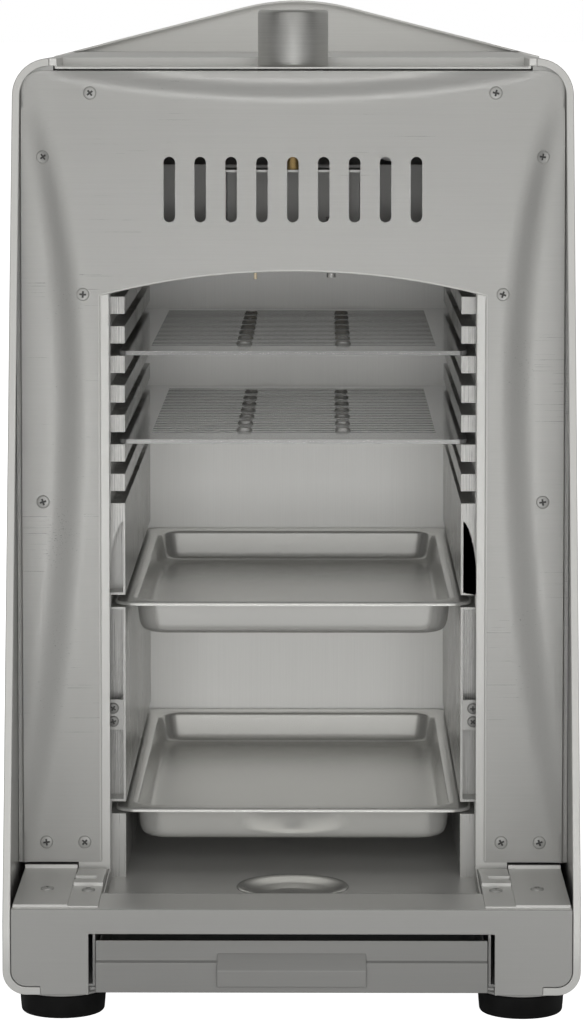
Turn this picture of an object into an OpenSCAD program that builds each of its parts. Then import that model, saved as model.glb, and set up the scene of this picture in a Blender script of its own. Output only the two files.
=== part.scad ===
// Tabletop overhead broiler: an open-fronted sheet-steel cabinet with a downward-firing gas burner
// under its top, two slotted grates, two pans, a drained floor and a drip drawer in the base.
// Millimetres, +Z up, the open front faces -Y. The origin is on the table under the middle.

/* [Cabinet] */
// Width across the side panels
cabinet_w = 290; // [286:1:296]
// Depth from the base front to the tip of the gas inlet
cabinet_d = 450; // [446:1:456]
// Height of the flat top above the table
top_z = 481; // [479:0.5:483]
// Height of the rear panel's peak above the table
peak_z = 511.5; // [509:0.5:514]
// Underside of the base above the table
base_z = 13; // [12:0.5:14]
// Top face of the base above the table
porch_z = 56.5; // [55:0.5:58]
// Thickness of the cabinet's sheet steel
sheet = 1.2; // [1:0.1:1.2]
// Radius of the two shoulders
shoulder_r = 19; // [17:0.5:22]
// Radius of the two bottom edges
bottom_r = 12; // [10:0.5:14]
// Width of the folded rim round the slanted front edge
rim_w = 4; // [3.5:0.5:4.5]
// Slope of the rear panel's peak, in degrees
peak_slope = 14.4; // [13.5:0.1:15]
// Radius of the rounded peak
peak_r = 125; // [110:5:140]

/* [Fascia and opening] */
// Distance from the base front back to the fascia
fascia_set = 97; // [94:1:100]
// Width of the fascia
fascia_w = 287; // [282:1:287]
// Lower end of the fascia's two legs above the table
leg_z = 60.5; // [60:0.5:62]
// Radius of the fascia's two upper corners
fascia_r = 14.5; // [12:0.5:15]
// Width of the opening between the legs
opening_w = 200.6; // [198:0.2:202]
// Height of the middle of the opening's arch above the table
arch_z = 370.6; // [368:0.2:373]
// Radius of the arch
arch_r = 403; // [380:1:430]
// Number of vent slots over the opening
vent_count = 9; // [5:2:11]
// Length of a vent slot
vent_h = 34; // [24:1:40]

/* [Racks, grates and pans] */
// Clear width between the two rack walls
rack_w = 176; // [174:0.5:177]
// Width across the bottoms of the runner grooves
groove_w = 191; // [190:0.5:192]
// Height of a runner groove
groove_h = 6.5; // [6:0.1:7]
// Height of the lowest grate groove
groove_z = 248; // [246:0.5:250]
// Step from one grate groove to the next
groove_step = 15.5; // [15:0.1:15.8]
// Number of grate grooves
groove_count = 8; // [7:1:8]
// Height of the groove that holds the upper pan
upper_pan_z = 193.2; // [190:0.2:196]
// Height of the groove that holds the lower pan
lower_pan_z = 83.6; // [82:0.2:86]
// Length of the grates and pans
insert_l = 314; // [305:1:316]
// Width of a grate
grate_w = 182; // [181:0.5:184]
// Step between the slots of a grate
slot_step = 9.3; // [9:0.1:10]
// Width of a grate slot
slot_w = 5.6; // [5:0.1:6]
// Width over the rim of a pan
pan_w = 187.6; // [186:0.2:188]
// Width of a pan's body
pan_body_w = 165; // [160:1:168]
// Depth of a pan below its rim
pan_h = 17; // [15:0.5:19]

/* [Base and feet] */
// Width of the drip drawer's recess
recess_w = 203.6; // [202:0.2:206]
// Top of the drip drawer's recess above the table
recess_z = 43.9; // [43:0.1:45]
// Width of the drip drawer's front
drawer_w = 197; // [194:1:199]
// Top of the drip drawer's front above the table
drawer_z = 39.7; // [39:0.1:40.5]
// Diameter of the funnel in the cavity floor
funnel_d = 53; // [48:1:56]
// Diameter of a rubber foot
foot_d = 43.6; // [40:0.2:46]
// Distance of a foot's centre from the middle of the cabinet
foot_x = 116; // [114:0.5:117]

/* [Knob and burner] */
// Diameter of the control knob
knob_d = 36.7; // [34:0.1:37]
// Top of the control knob above the table
knob_z = 506; // [503:0.5:508]
// Push travel of the knob
knob_travel = 3; // [2:0.5:3]
// Height of the gas inlet above the table
inlet_z = 440; // [438:1:444]
// Distance of the gas inlet to the left of the middle
inlet_x = 60; // [56:1:64]
// Outer diameter of the gas inlet's thread
inlet_d = 13.16; // [13:0.02:13.3]

/* [Hidden] */
$fn = 64;

// finishes
steel = "#a3a59f";
dark_steel = "#6f716d";
bright_steel = "#c3c5c0";
rubber = "#1b1b1c";
brass = "#b08d57";
ceramic = "#d9c9a8";

// planes, from the front to the back
front = -cabinet_d / 2;
rear = cabinet_d / 2 - 16;
fascia_y = front + fascia_set;
frame_y = fascia_y + sheet;
post_y = frame_y + sheet;
rack_y = fascia_y + 13;
liner_y = rear - 6;
half_w = cabinet_w / 2;
top_flat = half_w - shoulder_r;
fold = 0.3; // gap between neighbouring sheets
lean_z = base_z + 37; // height at which the side panels' front edge starts to lean back
lean_top = fascia_y - 1.6; // where that edge meets the top

// top ledge with the knob
ledge_z = top_z - 4.5;
ledge_w = 2 * (top_flat - rim_w);
ledge_back = fascia_y + 45;
knob_y = fascia_y + 22;
knob_bottom = ledge_z - 4.5;
stem_r = 4;

// levels
roof_z = 374;
floor_z = porch_z - 6.5;
fascia_top = ledge_z - sheet - 0.8;
grate_levels = [groove_z + 5 * groove_step, groove_z + 2 * groove_step];
rack_half = rack_w / 2;
groove_half = groove_w / 2;
runner_gap = 0.3;
insert_y = rack_y + 1;
rim_h = 2.2; // of a grate or pan

// burner
burner_w = 168;
burner_y = [fascia_y + 52, fascia_y + 272];
burner_top = roof_z + 50;
mixer_x = 52;
mixer_y = 30; // where the mixer tube enters the burner box
mixer_bend = inlet_z - burner_top;
mixer_r = 11;
valve_z = 423;
valve_top = 452;
pipe_r = 4;
pipe_bend = 16;
injector_bend = 8;
valve_port = 15; // from the valve's axis to the end of either port
probe_y = burner_y[0] - 12; // where the igniter and the thermocouple stand
hex_r = 10; // of the gas inlet's nuts

// base
floor_front = front + 38;
floor_half = groove_half + sheet;
funnel_y = fascia_y - 12;
feet_at = [for (x = [-1, 1], y = [front + 24, rear - 24]) [x * foot_x, y]];
foot_top = base_z - 1.5;
drawer_face = front + 3;
drawer_y = front + 6;
drawer_l = 160;

// ---------- shared shapes ----------

// a flat shape drawn in X and Z, given a depth that starts at y0
module upright(y0, depth) {
    translate([0, y0 + depth, 0]) rotate([90, 0, 0]) linear_extrude(depth) children();
}

// a flat shape drawn in Y and Z, given a width that starts at x0
module sideways(x0, width) {
    translate([x0, 0, 0]) rotate([90, 0, 90]) linear_extrude(width) children();
}

// a block from its lowest to its highest corner
module block(low, high) {
    translate(low) cube(high - low);
}

// a rectangle with true round corners, centred
module rounded(w, d, r) {
    square([w - 2 * r, d], center = true);
    square([w, d - 2 * r], center = true);
    for (x = [-1, 1], y = [-1, 1]) translate([x * (w / 2 - r), y * (d / 2 - r)]) circle(r);
}

// a slot with round ends, lengthwise along X, centred
module stadium(l, w) {
    square([l - w, w], center = true);
    for (s = [-1, 1]) translate([s * (l - w) / 2, 0]) circle(w / 2);
}

// the cabinet's outline seen from the front, moved inwards by inset
module outline(inset = 0) {
    w = half_w - inset;
    rt = shoulder_r - inset;
    rb = bottom_r - inset;
    low = base_z + inset;
    high = top_z - inset;
    middle = (low + high) / 2;
    translate([-w, low + rb]) square([2 * w, high - low - rt - rb]);
    translate([rt - w, middle]) square([2 * (w - rt), high - middle]);
    translate([rb - w, low]) square([2 * (w - rb), middle - low]);
    for (s = [-1, 1]) {
        translate([s * (w - rt), high - rt]) circle(rt);
        translate([s * (w - rb), low + rb]) circle(rb);
    }
}

// the cabinet seen from the side, with its front edge moved back by shift
module side_profile(shift = 0) {
    polygon([[front + shift, 0], [rear, 0], [rear, peak_z], [lean_top + shift, peak_z],
        [lean_top + shift, top_z], [front + shift, lean_z]]);
}

// a pan-head screw along -Y, its head's underside at y
module screw_y(x, y, z, head_r, head_h, shank_r, shank_l) {
    translate([x, y, z]) rotate([90, 0, 0]) {
        difference() {
            union() {
                cylinder(h = head_h * 0.5, r = head_r);
                cylinder(h = head_h, r1 = head_r, r2 = head_r * 0.7);
            }
            for (a = [0, 90]) rotate(a) translate([-head_r * 0.5, -head_r * 0.11, head_h * 0.45])
                cube([head_r, head_r * 0.22, head_h]);
        }
        translate([0, 0, -shank_l]) cylinder(h = shank_l, r = shank_r);
    }
}

// ---------- outer sheets ----------

module side_panel(s) {
    side = s < 0 ? -half_w - 1 : top_flat;
    color(steel) {
        intersection() {
            upright(front, rear - front) difference() {
                outline();
                outline(sheet);
            }
            sideways(side, shoulder_r + 1) side_profile();
        }
        intersection() {
            upright(front, rear - front) difference() {
                outline();
                outline(rim_w);
            }
            sideways(side, shoulder_r + 1) difference() {
                side_profile();
                side_profile(sheet);
            }
        }
    }
}

module left_side_panel() side_panel(-1);

module right_side_panel() side_panel(1);

module top_cover() {
    ledge_end = ledge_w / 2 + sheet;
    color(steel) difference() {
        union() {
            difference() {
                block([-top_flat, lean_top, top_z - sheet], [top_flat, rear, top_z]);
                block([-ledge_w / 2, lean_top - 1, top_z - 5], [ledge_w / 2, ledge_back, top_z + 1]);
            }
            block([-ledge_end, fascia_y, ledge_z - sheet], [ledge_end, ledge_back + sheet, ledge_z]);
            block([-ledge_end, ledge_back, ledge_z - sheet], [ledge_end, ledge_back + sheet, top_z]);
            for (s = [-1, 1]) translate([s * (ledge_w + sheet) / 2, 0, 0])
                block([-sheet / 2, fascia_y, ledge_z - sheet], [sheet / 2, ledge_back + sheet, top_z]);
            for (s = [-1, 1]) translate([s * (ledge_w / 2 + top_flat) / 2, 0, 0])
                block([-rim_w / 2, lean_top, top_z - rim_w], [rim_w / 2, lean_top + 0.8, top_z]);
        }
        translate([0, knob_y, ledge_z - 2]) cylinder(h = 4, r = knob_d / 2 + 0.7);
    }
}

// rear panel's outline, with its slopes lowered by drop
module gable(drop = 0) {
    rise = tan(peak_slope);
    tip = peak_z + peak_r * (1 / cos(peak_slope) - 1) - drop;
    knee = peak_r * sin(peak_slope);
    difference() {
        union() {
            polygon([[-half_w, base_z], [half_w, base_z], [half_w, tip - half_w * rise],
                [knee, tip - knee * rise], [-knee, tip - knee * rise], [-half_w, tip - half_w * rise]]);
            translate([0, peak_z - drop - peak_r]) circle(peak_r, $fn = 180);
        }
        for (s = [-1, 1]) difference() {
            translate([s * half_w, base_z]) square(2 * bottom_r, center = true);
            translate([s * (half_w - bottom_r), base_z + bottom_r]) circle(bottom_r);
        }
    }
}

rear_screw_at = [for (x = [-1, 1], z = [40, 180, 320, 455]) [x * (half_w - 9), z]];

module rear_panel() {
    color(steel) difference() {
        union() {
            upright(rear, sheet) gable();
            upright(rear - 8, 8) difference() {
                gable();
                gable(sheet);
                translate([-half_w, 0]) square([cabinet_w, top_z + 0.4]);
            }
        }
        upright(rear - 1, 4) {
            for (p = rear_screw_at) translate(p) circle(1.7);
            translate([-inlet_x, inlet_z]) circle(inlet_d / 2 + 0.4);
            for (z = [392, 404], i = [-4 : 4]) translate([i * 22, z]) stadium(16, 4);
            for (z = [452, 464], i = [-4 : 4]) translate([i * 22, z]) stadium(16, 4);
        }
    }
}

module rear_screws() {
    color(bright_steel) for (p = rear_screw_at)
        translate([p[0], rear + sheet, p[1]]) rotate([0, 0, 180]) screw_y(0, 0, 0, 3.4, 1.8, 1.6, sheet);
}

// ---------- fascia and its frame ----------

// the arched opening seen from the front
module arch() {
    intersection() {
        translate([-opening_w / 2, 0]) square([opening_w, arch_z]);
        translate([0, arch_z - arch_r]) circle(arch_r, $fn = 360);
    }
}

fascia_screw_at = [for (s = [-1, 1]) each [[s * 105, 463], [s * 129.5, 430], [s * 109, 358.6],
    [s * 129.7, 251], [s * 129, 71], [s * 109, 71]]];

module fascia() {
    corner_x = fascia_w / 2 - fascia_r;
    color(steel) upright(fascia_y, sheet) difference() {
        union() {
            translate([-fascia_w / 2, leg_z]) square([fascia_w, fascia_top - leg_z - fascia_r]);
            translate([-corner_x, leg_z]) square([2 * corner_x, fascia_top - leg_z]);
            for (s = [-1, 1]) translate([s * corner_x, fascia_top - fascia_r]) circle(fascia_r);
        }
        arch();
        for (p = fascia_screw_at) translate(p) circle(2.1);
        for (i = [0 : vent_count - 1]) translate([(i - (vent_count - 1) / 2) * 16, 413])
            rotate(90) stadium(vent_h, 6);
    }
}

module fascia_frame() {
    color(dark_steel) upright(frame_y, sheet) difference() {
        union() {
            translate([-136, 452]) square([272, 18]);
            for (s = [-1, 1]) translate([s * 127, 423]) square([22, 94], center = true);
            intersection() {
                outline(2);
                for (s = [-1, 1]) translate([s * 133, 460]) square([18, 40], center = true);
            }
        }
        for (p = fascia_screw_at) translate(p) circle(1.9);
    }
}

// an angle post behind a leg of the fascia
module front_post(s) {
    color(dark_steel) difference() {
        union() {
            translate([s * 104, 0, 0]) block([-8.3, frame_y, porch_z], [8.3, post_y, roof_z]);
            translate([s * 111.7, 0, 0]) block([-0.6, frame_y, porch_z], [0.6, post_y + 26, roof_z]);
        }
        upright(frame_y - 1, 4) for (p = fascia_screw_at) translate(p) circle(1.9);
    }
}

module left_front_post() front_post(-1);

module right_front_post() front_post(1);

module fascia_screws() {
    color(bright_steel) for (p = fascia_screw_at) screw_y(p[0], fascia_y, p[1], 3.6, 1.5, 1.8, sheet);
}

// ---------- base ----------

module base_front() {
    color(steel) upright(front, sheet) difference() {
        union() {
            outline(rim_w + fold);
            translate([-top_flat, base_z]) square([2 * top_flat, 2 * bottom_r]);
        }
        translate([-half_w, porch_z]) square([cabinet_w, top_z]);
        translate([-recess_w / 2, 0]) square([recess_w, recess_z]);
    }
}

// screws of the foot brackets: distance from the middle and height of the seat over the porch
bracket_screw_at = [[104, 0.9], [125, 1.6]];
bracket_screw_y = front + 41;

module porch_plate() {
    color(steel) difference() {
        block([-140.5, front + sheet, porch_z - sheet], [140.5, post_y + 30, porch_z]);
        block([-96.9, floor_front - 0.2, porch_z - 2], [96.9, rear, porch_z + 1]);
        for (s = [-1, 1], p = bracket_screw_at)
            translate([s * p[0], bracket_screw_y, porch_z - 2]) cylinder(h = 4, r = 1.9);
    }
}

module base_pan() {
    color(dark_steel) difference() {
        block([-top_flat, front + sheet, base_z], [top_flat, rear, base_z + sheet]);
        block([-recess_w / 2, front, base_z - 1], [recess_w / 2, front + 12, base_z + 3]);
        for (p = feet_at) translate([p[0], p[1], base_z - 1]) cylinder(h = 4, r = 2.7);
    }
}

// a stepped bracket that ties a fascia leg to the base
module foot_bracket(s) {
    color(steel) mirror([s < 0 ? 1 : 0, 0, 0]) difference() {
        union() {
            block([112.6, front + 4, porch_z], [140, fascia_y - 3, porch_z + 1.6]);
            block([112.6, fascia_y - 4.6, porch_z], [140, fascia_y - 3, porch_z + 3.4]);
            block([97.2, front + 4, porch_z], [112.6, front + 52, porch_z + 0.9]);
            block([97.2, front + 52, porch_z], [112.3, front + 74, porch_z + 2.6]);
            block([97.2, front + 74, porch_z], [112.3, fascia_y - 3, porch_z + 1.2]);
        }
        translate([106, front + 60, porch_z + 1.2]) block([-5, 0, 0], [6.3, 9, 3]);
        for (p = bracket_screw_at) translate([p[0], bracket_screw_y, porch_z - 1]) cylinder(h = 5, r = 1.9);
    }
}

module left_foot_bracket() foot_bracket(-1);

module right_foot_bracket() foot_bracket(1);

module bracket_screws() {
    color(bright_steel) for (s = [-1, 1], p = bracket_screw_at)
        translate([s * p[0], bracket_screw_y, porch_z + p[1]]) rotate([-90, 0, 0])
            screw_y(0, 0, 0, 3.4, 1.5, 1.7, 2);
}

module cavity_floor() {
    color(dark_steel) difference() {
        block([-floor_half, floor_front, floor_z - sheet], [floor_half, liner_y, floor_z]);
        translate([0, funnel_y, floor_z - 3]) cylinder(h = 6, d = funnel_d);
    }
}

// the lips that stand on the front and the sides of the cavity's floor
module floor_lips() {
    color(dark_steel) {
        block([-floor_half, floor_front, floor_z], [floor_half, floor_front + sheet, porch_z]);
        for (s = [-1, 1]) translate([s * (floor_half - sheet / 2), 0, 0])
            block([-sheet / 2, floor_front, floor_z], [sheet / 2, rack_y - 1, porch_z]);
    }
}

module floor_funnel() {
    r = funnel_d / 2 - 0.1;
    color(steel) translate([0, funnel_y, 0]) rotate_extrude($fn = 96)
        translate([0, floor_z]) polygon([[r + 3, 0.8], [r - 1.4, 0.8], [6, -4.2], [6, -8], [7, -8],
            [7, -5.2], [r - 0.1, -0.4], [r - 0.1, 0], [r + 3, 0]]);
}

module drawer_rail(s) {
    end = drawer_y + drawer_l + 3;
    color(dark_steel) translate([s * 99.8, 0, 0]) {
        block([-sheet / 2, front + 14, base_z + sheet], [sheet / 2, end, recess_z]);
        mirror([s > 0 ? 0 : 1, 0, 0])
            block([-sheet / 2, front + 14, base_z + sheet], [11, end, base_z + 2 * sheet]);
    }
}

module left_drawer_rail() drawer_rail(-1);

module right_drawer_rail() drawer_rail(1);

module drawer_pan() {
    low = base_z + sheet + runner_gap;
    color(dark_steel) difference() {
        block([-97, drawer_y, low], [97, drawer_y + drawer_l, drawer_z - 2]);
        block([-96, drawer_y + 1, low + 1], [96, drawer_y + drawer_l - 1, drawer_z]);
    }
}

module drawer_front() {
    step = 28.7;
    color(steel) sideways(-drawer_w / 2, drawer_w) polygon([
        [drawer_face, base_z + 0.5], [drawer_face, step], [drawer_y - sheet, step + 0.9],
        [drawer_y - sheet, drawer_z], [drawer_y, drawer_z], [drawer_y, step - 0.3],
        [drawer_face + sheet, step - 1.2], [drawer_face + sheet, base_z + 0.5]]);
}

module drawer_handle() {
    root = drawer_y - sheet;
    color(bright_steel) sideways(-37.5, 75) polygon([[root, 33.4], [front, 25.4], [front + 0.2, 17],
        [front + 1.4, 17], [front + 1.2, 25.8], [root, 31.8]]);
}

module rubber_feet() {
    r = foot_d / 2;
    color(rubber) for (p = feet_at) translate([p[0], p[1], 0]) rotate_extrude() difference() {
        union() {
            translate([2.7, 0]) square([r - 4.2, foot_top]);
            translate([2.7, 1.5]) square([r - 2.7, foot_top - 1.5]);
            translate([r - 1.5, 1.5]) circle(1.5, $fn = 24);
        }
        translate([0, -1]) square([6.5, 6]);
    }
}

module foot_cups() {
    color(steel) for (p = feet_at) translate([p[0], p[1], foot_top]) difference() {
        cylinder(h = base_z - foot_top, r = foot_d / 2 - 0.2);
        translate([0, 0, -1]) cylinder(h = 4, r = 2.7);
    }
}

module foot_screws() {
    color(bright_steel) for (p = feet_at) translate([p[0], p[1], 0]) {
        translate([0, 0, 2.5]) cylinder(h = 2.5, r = 4.6);
        translate([0, 0, 5]) cylinder(h = 14, r = 2.5);
    }
}

module foot_nuts() {
    color(bright_steel) for (p = feet_at) translate([p[0], p[1], base_z + sheet]) difference() {
        cylinder(h = 4, r = 4.6, $fn = 6);
        translate([0, 0, -1]) cylinder(h = 6, r = 2.5, $fn = 48);
    }
}

// ---------- cavity ----------

// width of a rack from its wall's inner face to the outside of its pressed runner grooves
rack_out = groove_half + sheet - rack_half;
rack_web_set = 15; // from the rack's front edge back to its web
rack_levels = [lower_pan_z, upper_pan_z, for (i = [0 : groove_count - 1]) groove_z + i * groove_step];

// the insides of the runner grooves, seen from the front
module groove_hollows() {
    for (z = rack_levels) translate([rack_half - 1, z]) square([rack_out + 1 - sheet, groove_h]);
}

// a rack wall with its runner grooves, seen from the front
module rack_section() {
    difference() {
        union() {
            translate([rack_half, floor_z]) square([sheet, roof_z - floor_z]);
            for (z = rack_levels) translate([rack_half, z - sheet]) square([rack_out, groove_h + 2 * sheet]);
        }
        groove_hollows();
    }
}

// front tabs that close the hollows between the grate grooves, and the flaps under them and at the floor
module rack_flange() {
    tab_h = groove_step - groove_h;
    flap_h = 40;
    for (i = [0 : groove_count - 1]) translate([rack_half, groove_z + i * groove_step - tab_h])
        square([rack_out, tab_h]);
    translate([rack_half, groove_z - tab_h - flap_h]) difference() {
        square([rack_out, flap_h]);
        scale([rack_out / flap_h, 1]) circle(flap_h);
    }
    translate([rack_half, floor_z]) square([rack_out, lower_pan_z - floor_z]);
}

// the web behind the flange that shuts the space between the rack wall and the front post, above the porch
module rack_web() {
    width = opening_w / 2 + 8 - rack_half;
    low = porch_z + fold;
    difference() {
        translate([rack_half, low]) square([width, roof_z - low]);
        groove_hollows();
    }
}

module side_rack(s) {
    color(bright_steel) mirror([s < 0 ? 1 : 0, 0, 0]) {
        upright(rack_y, liner_y - rack_y) rack_section();
        upright(rack_y, sheet) rack_flange();
        upright(rack_y + rack_web_set, sheet) rack_web();
    }
}

module left_rack() side_rack(-1);

module right_rack() side_rack(1);

// angle brackets between the rack walls and the front posts: their foot, height and screws
rack_bracket_at = [[128, 16, [4.5, 11.5]], [364.6, 8.8, [4.4]]];
rack_screw_x = 94.5;

module rack_brackets() {
    color(steel) for (s = [-1, 1], b = rack_bracket_at) mirror([s < 0 ? 1 : 0, 0, 0]) difference() {
        translate([rack_half + sheet, rack_y + 1, b[0]]) {
            block([0, 0, 0], [21.9, sheet, b[1]]);
            block([0, 0, 0], [sheet, 13, b[1]]);
        }
        for (dz = b[2]) translate([rack_screw_x, rack_y, b[0] + dz]) rotate([-90, 0, 0])
            cylinder(h = 4, r = 1.6);
    }
}

module rack_screws() {
    color(bright_steel) for (s = [-1, 1], b = rack_bracket_at, dz = b[2])
        screw_y(s * rack_screw_x, rack_y + 1, b[0] + dz, 2.9, 2.2, 1.5, 3);
}

module back_liner() {
    color(bright_steel)
        block([-floor_half, liner_y, floor_z - sheet], [floor_half, liner_y + sheet, roof_z]);
}

module heat_shield() {
    color(dark_steel) difference() {
        block([-138, post_y, roof_z], [138, liner_y, roof_z + sheet]);
        block([2 - burner_w / 2, burner_y[0] + 2, roof_z - 1],
            [burner_w / 2 - 2, burner_y[1] - 2, roof_z + 3]);
        for (x = [-20, 20]) translate([x, probe_y, roof_z - 1]) cylinder(h = 4, r = 3.2);
    }
}

// ---------- burner and gas train ----------

module burner_box() {
    low = roof_z + sheet;
    color(steel) difference() {
        union() {
            block([-burner_w / 2, burner_y[0], low], [burner_w / 2, burner_y[1], burner_top]);
            block([-burner_w / 2 - 8, burner_y[0] - 6, low],
                [burner_w / 2 + 8, burner_y[1] + 6, low + sheet]);
        }
        block([sheet - burner_w / 2, burner_y[0] + sheet, low - 1],
            [burner_w / 2 - sheet, burner_y[1] - sheet, burner_top - sheet]);
        for (x = [-20, 20]) translate([x, probe_y, low - 1]) cylinder(h = 4, r = 7);
        translate([mixer_x, mixer_y, burner_top - 3]) cylinder(h = 6, r = mixer_r);
    }
}

module plaque_frame() {
    low = roof_z + sheet + 5;
    color(dark_steel) difference() {
        block([sheet - burner_w / 2, burner_y[0] + sheet, low],
            [burner_w / 2 - sheet, burner_y[1] - sheet, low + 1.5]);
        block([8 - burner_w / 2, burner_y[0] + 8, low - 1], [burner_w / 2 - 8, burner_y[1] - 8, low + 3]);
    }
}

module ceramic_plaques() {
    low = roof_z + sheet + 6.5;
    w = (burner_w - 2 * sheet - 3) / 2;
    l = (burner_y[1] - burner_y[0] - 2 * sheet - 4) / 3;
    color(ceramic) translate([sheet + 1 - burner_w / 2, burner_y[0] + sheet + 1, low])
        for (i = [0, 1], k = [0 : 2]) translate([i * (w + 1), k * (l + 1), 0]) difference() {
            cube([w, l, 13]);
            for (m = [1 : 6], n = [1 : 5]) translate([m * w / 7, n * l / 6, -1])
                cube([5, 5, 3], center = true);
        }
}

module burner_screen() {
    low = roof_z + sheet + 2;
    x = burner_w / 2 - sheet;
    color(dark_steel) {
        for (i = [-6 : 6]) translate([i * 12, 0, 0])
            block([-0.8, burner_y[0] + sheet, low], [0.8, burner_y[1] - sheet, low + 1.5]);
        for (i = [1 : 12]) translate([0, burner_y[0] + i * 17, 0])
            block([-x, -0.8, low + 1], [x, 0.8, low + 3]);
    }
}

// a ring seen along a pipe's axis
module ring(r, wall) {
    difference() {
        circle(r);
        circle(r - wall);
    }
}

module mixer_tube() {
    mouth = knob_y + 30;
    bend_y = mixer_y - mixer_bend;
    color(dark_steel) translate([mixer_x, 0, 0]) {
        difference() {
            translate([0, mouth, inlet_z]) rotate([-90, 0, 0]) linear_extrude(bend_y - mouth)
                ring(mixer_r, sheet);
            for (a = [45 : 90 : 315]) translate([0, mouth + 12, inlet_z]) rotate([0, a, 0])
                cylinder(h = 20, r = 3);
        }
        translate([0, mouth, inlet_z]) rotate([-90, 0, 0]) linear_extrude(3) ring(mixer_r + 3, 3);
        translate([0, bend_y, burner_top]) rotate([90, 0, 90]) rotate_extrude(angle = 90)
            translate([mixer_bend, 0]) ring(mixer_r, sheet);
    }
}

module gas_injector() {
    color(brass) translate([mixer_x, knob_y + injector_bend, inlet_z]) rotate([-90, 0, 0]) difference() {
        union() {
            cylinder(h = 10, r = 6, $fn = 6);
            translate([0, 0, 10]) cylinder(h = 12, r = 4);
            translate([0, 0, 22]) cylinder(h = 5, r1 = 4, r2 = 2);
        }
        translate([0, 0, -1]) cylinder(h = 26, r = 1.5);
        translate([0, 0, 20]) cylinder(h = 10, r = 0.6);
    }
}

// a solid pipe elbow that turns by a quarter in its own XY plane
module elbow(radius, r) {
    rotate_extrude(angle = 90) translate([radius, 0]) circle(r);
}

module injector_pipe() {
    x = mixer_x - injector_bend;
    r = pipe_r - 1;
    color(bright_steel) {
        translate([valve_port, knob_y, inlet_z]) rotate([0, 90, 0]) cylinder(h = x - valve_port, r = r);
        translate([x, knob_y + injector_bend, inlet_z]) rotate([0, 0, -90]) elbow(injector_bend, r);
    }
}

module gas_valve() {
    color(brass) translate([0, knob_y, 0]) difference() {
        union() {
            translate([0, 0, valve_z]) cylinder(h = valve_top - valve_z, r = 13);
            for (s = [-1, 1]) translate([0, 0, inlet_z]) rotate([0, s * 90, 0])
                cylinder(h = valve_port, r = 6);
        }
        translate([0, 0, valve_z + 6]) cylinder(h = 40, r = stem_r + 0.05);
    }
}

module valve_bracket() {
    half = 36;
    depth = 16;
    low = roof_z + sheet;
    color(dark_steel) {
        block([-half, knob_y - depth, valve_z - sheet], [half, knob_y + depth, valve_z]);
        for (s = [-1, 1]) translate([s * (half - sheet / 2), 0, 0]) {
            block([-sheet / 2, knob_y - depth, low], [sheet / 2, knob_y + depth, valve_z]);
            translate([s * 4.4, 0, 0]) block([-5, knob_y - depth, low], [5, knob_y + depth, low + sheet]);
        }
    }
}

module gas_pipe() {
    y = knob_y + pipe_bend;
    color(bright_steel) translate([-inlet_x, 0, inlet_z]) {
        translate([0, y, 0]) rotate([-90, 0, 0]) cylinder(h = rear - 12 - y, r = pipe_r);
        translate([pipe_bend, y, 0]) rotate([0, 0, 180]) elbow(pipe_bend, pipe_r);
        translate([pipe_bend, knob_y, 0]) rotate([0, 90, 0])
            cylinder(h = inlet_x - pipe_bend - valve_port, r = pipe_r);
    }
}

module gas_inlet_fitting() {
    color(brass) translate([-inlet_x, 0, inlet_z]) rotate([-90, 0, 0]) difference() {
        union() {
            translate([0, 0, rear - 12]) cylinder(h = 12, r = hex_r, $fn = 6);
            translate([0, 0, rear]) cylinder(h = cabinet_d / 2 - rear, d = inlet_d);
            translate([0, 0, rear + sheet]) cylinder(h = 2, r = hex_r, $fn = 6);
        }
        translate([0, 0, rear - 8]) cylinder(h = 40, r = 3.5);
    }
}

module igniter_electrode() {
    color(ceramic) translate([-20, probe_y, roof_z - 6]) cylinder(h = 26, r = 3);
    color(bright_steel) translate([-20, probe_y, roof_z - 10]) cylinder(h = 4, r = 0.9);
}

module thermocouple() {
    color(bright_steel) translate([20, probe_y, roof_z - 9]) {
        cylinder(h = 14, r = 2.4);
        translate([0, 0, 12]) cylinder(h = 20, r = 3);
    }
}

// ---------- knob ----------

module spring_collar() {
    color(bright_steel) translate([0, knob_y, knob_bottom - 4]) difference() {
        cylinder(h = 2, r = 9);
        translate([0, 0, -1]) cylinder(h = 4, r = stem_r + 0.05);
    }
}

// a helical compression spring between the valve and the collar
spring_turns = 4;
spring_sides = 8;
spring_steps = 16;
spring_wire = 0.6;
spring_r = 7;
spring_low = valve_top + spring_wire + 0.1;
spring_high = knob_bottom - 4 - spring_wire - 0.1;

function spring_point(i, j) =
    let (a = 360 * i / spring_steps, b = 360 * j / spring_sides, r = spring_r + spring_wire * cos(b))
    [r * cos(a), r * sin(a), spring_low + (spring_high - spring_low) * i / (spring_turns * spring_steps)
        + spring_wire * sin(b)];

module valve_spring() {
    rings = spring_turns * spring_steps;
    points = [for (i = [0 : rings], j = [0 : spring_sides - 1]) spring_point(i, j)];
    skin = [for (i = [0 : rings - 1], j = [0 : spring_sides - 1])
        let (k = (j + 1) % spring_sides) [i * spring_sides + j, i * spring_sides + k,
            (i + 1) * spring_sides + k, (i + 1) * spring_sides + j]];
    ends = [[for (j = [spring_sides - 1 : -1 : 0]) j],
        [for (j = [0 : spring_sides - 1]) rings * spring_sides + j]];
    color(bright_steel) translate([0, knob_y, 0]) polyhedron(points, concat(skin, ends));
}

module valve_stem() {
    color(bright_steel) translate([0, knob_y, valve_z + 6 + knob_travel + 0.5])
        cylinder(h = knob_bottom + 14 - valve_z - 6 - knob_travel - 0.5, r = stem_r);
}

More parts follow.
